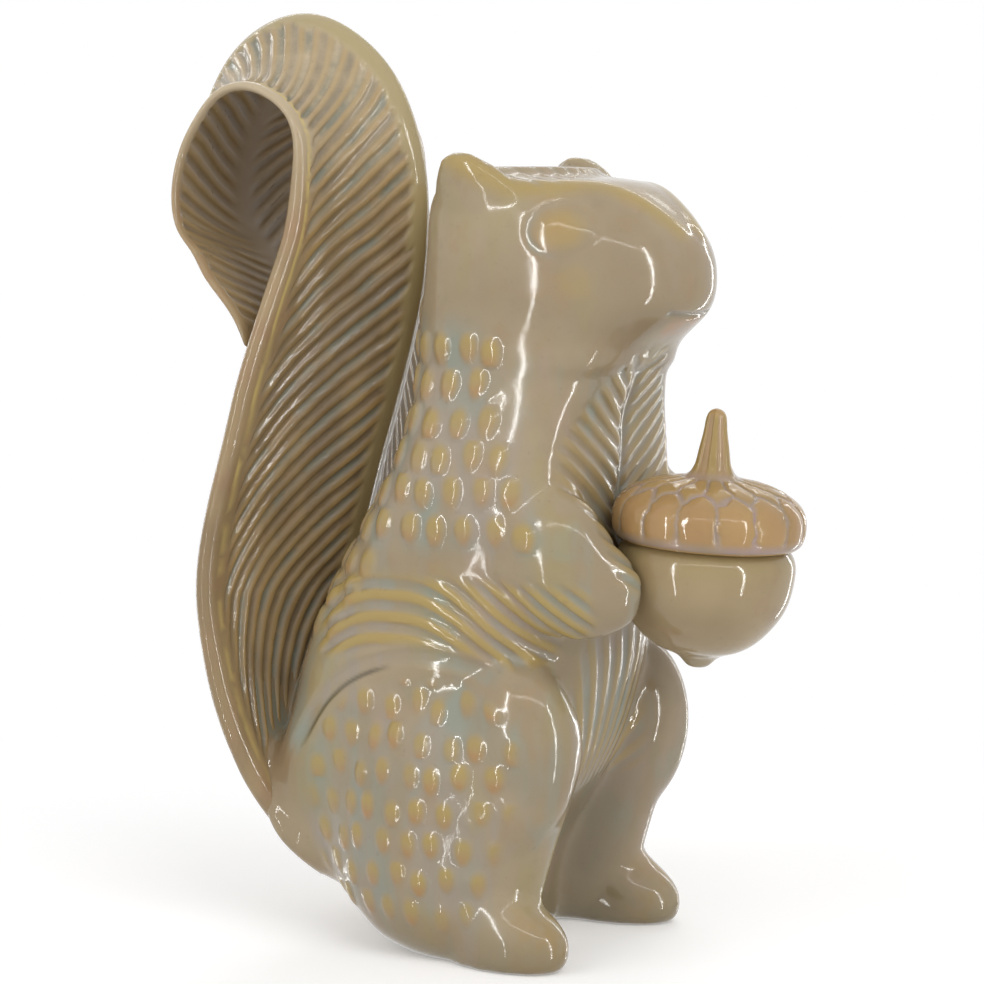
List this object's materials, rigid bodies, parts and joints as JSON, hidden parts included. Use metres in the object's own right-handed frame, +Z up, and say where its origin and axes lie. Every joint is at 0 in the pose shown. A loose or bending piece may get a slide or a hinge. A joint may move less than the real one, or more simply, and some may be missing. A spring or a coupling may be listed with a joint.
{
  "type": "squirrel figurine",
  "caption": "Upright ceramic squirrel figurine with a tall curled tail, holding an acorn-shaped pot whose stemmed cap lifts off.",
  "frame": {"origin": "on the ground in the mid-plane, on the flat underside of the body", "axes": "+X the way the squirrel faces, +Y its left, +Z up"},
  "size_m": [0.2175, 0.116, 0.2895],
  "materials": {
    "body_glaze": "gloss ceramic glaze, taupe with ochre on the raised marks and blue-grey in the grooves",
    "tail_glaze": "gloss ceramic glaze, brown-ochre ribs over blue-grey grooves",
    "pot_glaze": "gloss ceramic glaze, plain taupe",
    "cap_glaze": "gloss ceramic glaze, peach scales with lavender-grey grooves"
  },
  "bodies": {
    "figure": {"body_shell": "body_glaze", "head_shell": "body_glaze", "tail": "tail_glaze", "left_arm": "body_glaze", "right_arm": "body_glaze", "acorn_cup": "pot_glaze"},
    "lid": {"acorn_lid": "cap_glaze"}
  },
  "joints": [
    {"name": "lid_lift", "type": "slide", "parent": "figure", "child": "lid", "axis": [0.0785, 0, 0.9969], "range_m": [0, 0.03]}
  ]
}
